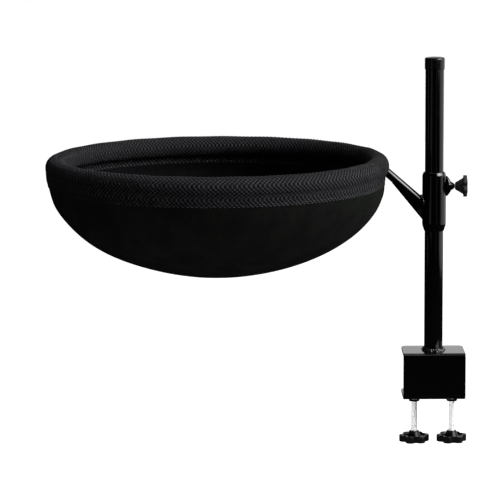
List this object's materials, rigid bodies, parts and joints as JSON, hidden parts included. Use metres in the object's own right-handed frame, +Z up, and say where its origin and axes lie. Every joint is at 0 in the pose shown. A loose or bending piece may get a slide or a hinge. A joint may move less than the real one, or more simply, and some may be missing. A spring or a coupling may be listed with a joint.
{
  "type": "desk-mounted cat bed",
  "caption": "Round padded fabric bowl on a steel hoop, carried by an arm and a sliding sleeve on a post that clamps to a desk edge.",
  "frame": {"origin": "on the post's axis, at the level of the desk top: the underside of the rubber pad under the clamp's top plate", "axes": "+Z up along the post, -X from the post towards the bowl's centre, +Y into the clamp's mouth, over the desk"},
  "size_m": [0.5683, 0.4618, 0.5255],
  "materials": {
    "gloss_paint": "gloss",
    "zinc": "satin",
    "disc_steel": "satin",
    "knob_plastic": "satin",
    "cap_plastic": "gloss",
    "bush_plastic": "matte",
    "pad_rubber": "matte",
    "brass": "satin",
    "foam": "matte",
    "webbing": "woven",
    "bowl_cloth": "felted",
    "lining_cloth": "brushed",
    "padding": "matte"
  },
  "bodies": {
    "clamp": {"clamp_bracket": "gloss_paint", "top_pad": "pad_rubber", "weld_nut_left": "gloss_paint", "weld_nut_right": "gloss_paint", "post_tube": "gloss_paint", "post_weld": "gloss_paint", "post_cap": "cap_plastic"},
    "carriage": {"bush_upper": "bush_plastic", "bush_lower": "bush_plastic"},
    "arm": {"sleeve_tube": "gloss_paint", "lock_nut": "gloss_paint", "lock_boss": "gloss_paint", "arm_rod": "gloss_paint", "gusset_plate": "gloss_paint", "arm_weld": "gloss_paint", "hoop_rod": "gloss_paint", "rim_foam": "foam", "rim_casing": "webbing", "bowl_fabric": "bowl_cloth", "bowl_padding": "padding", "bowl_lining": "lining_cloth"},
    "tip": {"lock_tip": "brass"},
    "lock": {"lock_screw": "zinc", "lock_knob": "knob_plastic"},
    "press_left": {"disc_left": "disc_steel", "disc_pad_left": "pad_rubber"},
    "press_right": {"disc_right": "disc_steel", "disc_pad_right": "pad_rubber"},
    "turn_left": {"screw_left": "zinc", "knob_left": "knob_plastic"},
    "turn_right": {"screw_right": "zinc", "knob_right": "knob_plastic"}
  },
  "joints": [
    {"name": "height", "type": "slide", "parent": "clamp", "child": "carriage", "axis": [0, 0, 1], "range_m": [-0.15, 0.135]},
    {"name": "swivel", "type": "hinge", "parent": "carriage", "child": "arm", "pos_m": [0, 0, 0.211], "axis": [0, 0, 1], "continuous": true},
    {"name": "tip_travel", "type": "slide", "parent": "arm", "child": "tip", "axis": [1, 0, 0], "range_m": [0, 0.004]},
    {"name": "lock_turn", "type": "hinge", "parent": "tip", "child": "lock", "pos_m": [0.0282, 0, 0.2315], "axis": [1, 0, 0], "range_deg": [0, 1440]},
    {"name": "press_left_travel", "type": "slide", "parent": "clamp", "child": "press_left", "axis": [0, 0, 1], "range_m": [0, 0.036]},
    {"name": "press_right_travel", "type": "slide", "parent": "clamp", "child": "press_right", "axis": [0, 0, 1], "range_m": [0, 0.036]},
    {"name": "clamp_turn_left", "type": "hinge", "parent": "press_left", "child": "turn_left", "pos_m": [-0.0255, 0, -0.105], "axis": [0, 0, 1], "range_deg": [0, 10368]},
    {"name": "clamp_turn_right", "type": "hinge", "parent": "press_right", "child": "turn_right", "pos_m": [0.0255, 0, -0.105], "axis": [0, 0, 1], "range_deg": [0, 10368]}
  ],
  "couplings": [
    {"joint": "lock_turn", "follows": "tip_travel", "rad_per_m": 6283.1},
    {"joint": "clamp_turn_left", "follows": "press_left_travel", "rad_per_m": 5026.5},
    {"joint": "clamp_turn_right", "follows": "press_right_travel", "rad_per_m": 5026.5}
  ]
}
